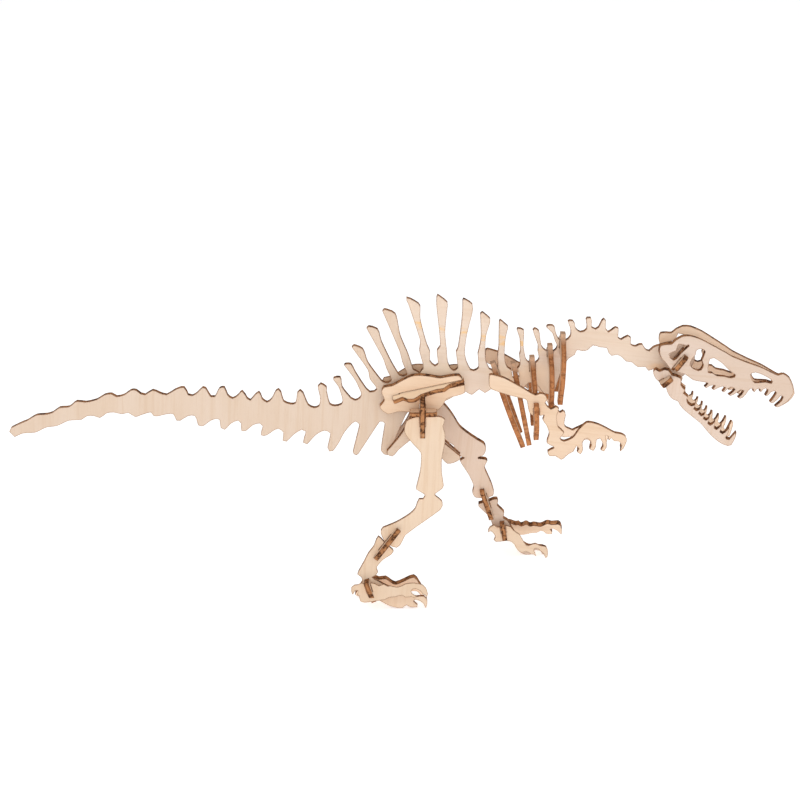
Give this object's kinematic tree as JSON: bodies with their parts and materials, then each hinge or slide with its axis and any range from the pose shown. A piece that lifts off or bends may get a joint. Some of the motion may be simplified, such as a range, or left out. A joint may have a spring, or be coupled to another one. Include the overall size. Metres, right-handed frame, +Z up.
{
  "type": "wooden dinosaur skeleton puzzle",
  "caption": "Slot-together plywood skeleton of a striding two-legged dinosaur with spined back, arched ribs, long tail, open-framed skull and clawed feet.",
  "frame": {"origin": "on the ground, under the middle of the overall bounding box; the backbone's sheet stands 4.7 mm to the -Y side of it", "axes": "+X towards the head, +Y to the animal's left, +Z up"},
  "size_m": [0.4016, 0.0886, 0.159],
  "materials": {
    "plywood": "unfinished sheet with scorched cut edges"
  },
  "bodies": {
    "backbone": {"spine_tail": "plywood", "spine_trunk_and_neck": "plywood", "hip_cross_plate": "plywood", "hip_spacer_right": "plywood", "hip_spacer_left": "plywood"},
    "rib_1": {"rib_1": "plywood"},
    "rib_2": {"rib_2": "plywood"},
    "rib_3": {"rib_3": "plywood"},
    "rib_4": {"rib_4": "plywood"},
    "rib_5": {"rib_5": "plywood"},
    "right_arm": {"shoulder_and_arm_right": "plywood"},
    "left_arm": {"shoulder_and_arm_left": "plywood"},
    "skull": {"skull_right": "plywood", "skull_left": "plywood", "skull_cross_plate": "plywood"},
    "jaw": {"jaw_right": "plywood", "jaw_left": "plywood", "jaw_cross_plate": "plywood"},
    "right_ilium": {"ilium_right": "plywood", "ilium_fin_right": "plywood"},
    "left_ilium": {"ilium_left": "plywood", "ilium_fin_left": "plywood"},
    "right_prongs": {"ischium_and_pubis_right": "plywood"},
    "left_prongs": {"ischium_and_pubis_left": "plywood"},
    "right_leg": {"thigh_and_shin_right": "plywood", "ankle_joiner_right": "plywood"},
    "left_leg": {"thigh_and_shin_left": "plywood", "ankle_joiner_left": "plywood"},
    "right_foot": {"shank_and_middle_toe_right": "plywood", "outer_toe_right": "plywood", "inner_toe_right": "plywood", "foot_cross_strip_right": "plywood"},
    "left_foot": {"shank_and_middle_toe_left": "plywood", "outer_toe_left": "plywood", "inner_toe_left": "plywood", "foot_cross_strip_left": "plywood"}
  },
  "joints": [
    {"name": "rib_1_lift", "type": "slide", "parent": "backbone", "child": "rib_1", "axis": [-0.3502, 0, 0.9367], "range_m": [0, 0.004]},
    {"name": "rib_2_lift", "type": "slide", "parent": "backbone", "child": "rib_2", "axis": [-0.2028, 0, 0.9792], "range_m": [0, 0.008]},
    {"name": "rib_3_lift", "type": "slide", "parent": "backbone", "child": "rib_3", "axis": [-0.0576, 0, 0.9983], "range_m": [0, 0.008]},
    {"name": "rib_4_lift", "type": "slide", "parent": "backbone", "child": "rib_4", "axis": [-0.0192, 0, 0.9998], "range_m": [0, 0.004]},
    {"name": "rib_5_lift", "type": "slide", "parent": "backbone", "child": "rib_5", "axis": [0.0366, 0, 0.9993], "range_m": [0, 0.005]},
    {"name": "right_arm_lift", "type": "slide", "parent": "rib_3", "child": "right_arm", "axis": [-0.0576, 0, 0.9983], "range_m": [0, 0.008]},
    {"name": "left_arm_lift", "type": "slide", "parent": "rib_3", "child": "left_arm", "axis": [-0.0576, 0, 0.9983], "range_m": [0, 0.008]},
    {"name": "skull_lift", "type": "slide", "parent": "backbone", "child": "skull", "axis": [0.6004, 0, 0.7997], "range_m": [0, 0.01]},
    {"name": "jaw_pull", "type": "slide", "parent": "backbone", "child": "jaw", "axis": [-0.7771, 0, -0.6293], "range_m": [0, 0.008]},
    {"name": "right_ilium_lift", "type": "slide", "parent": "backbone", "child": "right_ilium", "axis": [0, -0.1736, 0.9848], "range_m": [0, 0.007]},
    {"name": "left_ilium_lift", "type": "slide", "parent": "backbone", "child": "left_ilium", "axis": [0, 0.1736, 0.9848], "range_m": [0, 0.007]},
    {"name": "right_prongs_drop", "type": "slide", "parent": "backbone", "child": "right_prongs", "axis": [0, 0, -1], "range_m": [0, 0.005]},
    {"name": "left_prongs_drop", "type": "slide", "parent": "backbone", "child": "left_prongs", "axis": [0, 0, -1], "range_m": [0, 0.005]},
    {"name": "right_leg_pull", "type": "slide", "parent": "backbone", "child": "right_leg", "axis": [0, -0.1822, -0.9833], "range_m": [0, 0.008]},
    {"name": "left_leg_pull", "type": "slide", "parent": "backbone", "child": "left_leg", "axis": [0, 0.2419, -0.9703], "range_m": [0, 0.008]},
    {"name": "right_foot_pull", "type": "slide", "parent": "right_leg", "child": "right_foot", "axis": [-0.6107, -0.1443, -0.7786], "range_m": [0, 0.007]},
    {"name": "left_foot_pull", "type": "slide", "parent": "left_leg", "child": "left_foot", "axis": [0.2827, 0.2321, -0.9307], "range_m": [0, 0.007]}
  ]
}
